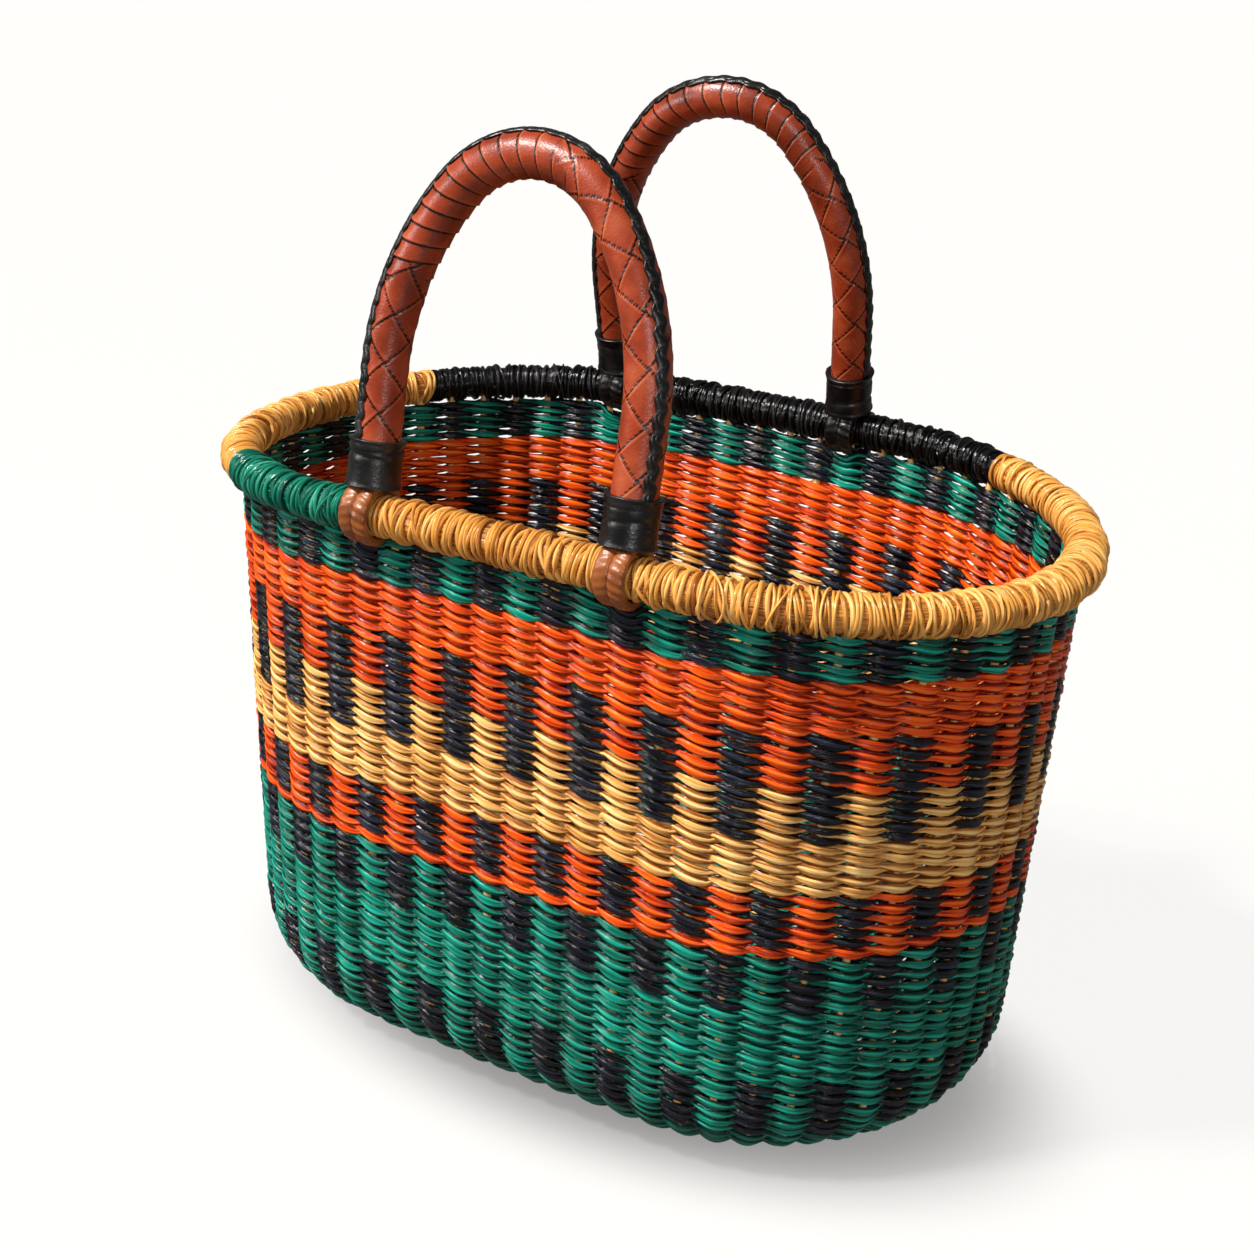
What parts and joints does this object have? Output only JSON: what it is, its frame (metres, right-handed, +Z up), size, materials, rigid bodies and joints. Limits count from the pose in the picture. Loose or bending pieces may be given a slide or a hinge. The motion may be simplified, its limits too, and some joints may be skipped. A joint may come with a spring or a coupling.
{
  "type": "woven market basket",
  "caption": "Oval market basket of twined coloured straw bands on upright stakes, with a wrapped rim and two plaited leather handles that fold on leather loops.",
  "frame": {"origin": "middle of the footprint, on the surface that the basket stands on", "axes": "+Z up, +X along the long side of the rim, -Y towards the front"},
  "size_m": [0.46, 0.3129, 0.4904],
  "materials": {
    "straw_orange_black": "twined straw, orange and black, satin",
    "straw_green_black": "twined straw, green and black, satin",
    "straw_orange": "twined straw, orange, satin",
    "straw_green": "twined straw, green, satin",
    "straw_natural": "twined straw, natural, satin",
    "straw_natural_black": "twined straw, natural and black, satin",
    "wrap_natural": "wrapped straw, natural, satin",
    "wrap_green": "wrapped straw, green, satin",
    "wrap_black": "wrapped straw, black, satin",
    "stake_straw": "natural, matt",
    "rim_core_straw": "natural, matt",
    "handle_core_straw": "natural, matt",
    "leather_tan": "terracotta, semi-gloss",
    "leather_black": "black, semi-gloss",
    "leather_brown": "brown, semi-gloss"
  },
  "bodies": {
    "basket": {"base_weave": "straw_green", "stakes": "stake_straw", "band_green_black_top": "straw_green_black", "band_orange_upper": "straw_orange", "band_orange_black_upper": "straw_orange_black", "band_straw_black": "straw_natural_black", "band_straw": "straw_natural", "band_orange_black_lower": "straw_orange_black", "band_green_black_middle": "straw_green_black", "band_green": "straw_green", "band_green_black_foot": "straw_green_black", "rim_core": "rim_core_straw", "rim_wrap_black": "wrap_black", "rim_wrap_left_end": "wrap_natural", "rim_wrap_green": "wrap_green", "rim_wrap_straw": "wrap_natural"},
    "front_handle": {"front_handle_core": "handle_core_straw", "front_handle_cover": "leather_tan", "front_handle_lace": "leather_black", "front_loop_left": "leather_brown", "front_collar_left": "leather_black", "front_loop_right": "leather_brown", "front_collar_right": "leather_black"},
    "rear_handle": {"rear_handle_core": "handle_core_straw", "rear_handle_cover": "leather_tan", "rear_handle_lace": "leather_black", "rear_loop_left": "leather_black", "rear_collar_left": "leather_black", "rear_loop_right": "leather_black", "rear_collar_right": "leather_black"}
  },
  "joints": [
    {"name": "front_handle_fold", "type": "hinge", "parent": "basket", "child": "front_handle", "pos_m": [-0.00065, -0.1407, 0.305], "axis": [1, -0.0002, 0], "range_deg": [-36, 130]},
    {"name": "rear_handle_fold", "type": "hinge", "parent": "basket", "child": "rear_handle", "pos_m": [-0.02513, 0.14021, 0.305], "axis": [0.9999, 0.0127, 0], "range_deg": [-135, 31]}
  ]
}
